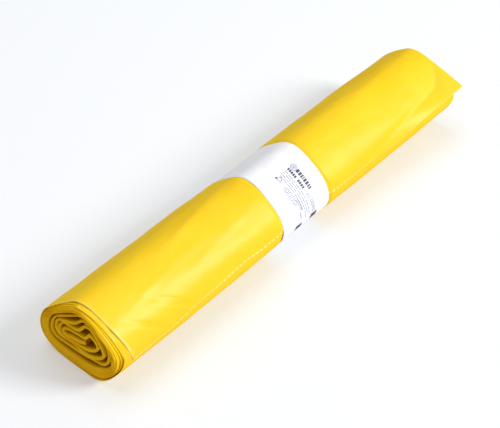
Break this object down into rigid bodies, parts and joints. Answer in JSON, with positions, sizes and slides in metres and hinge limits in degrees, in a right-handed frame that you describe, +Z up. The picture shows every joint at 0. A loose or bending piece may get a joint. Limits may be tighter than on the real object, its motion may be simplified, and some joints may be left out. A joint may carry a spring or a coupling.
{
  "type": "roll of garbage bags",
  "caption": "Coreless roll of yellow plastic garbage bags wound from one folded web, with a loose corner at one end and a paper band round its middle.",
  "frame": {"origin": "centre of the footprint, on the surface that the roll lies on", "axes": "+X along the roll, towards the end with the sprung corner of the outer bag; -Y towards the bag's free end; +Z up from the flat that the roll lies on"},
  "size_m": [0.351, 0.0812, 0.0597],
  "materials": {
    "yellow_film": "satin",
    "white_paper": "matte"
  },
  "bodies": {
    "root": {"bag_roll": "yellow_film", "paper_band": "white_paper"}
  },
  "joints": []
}
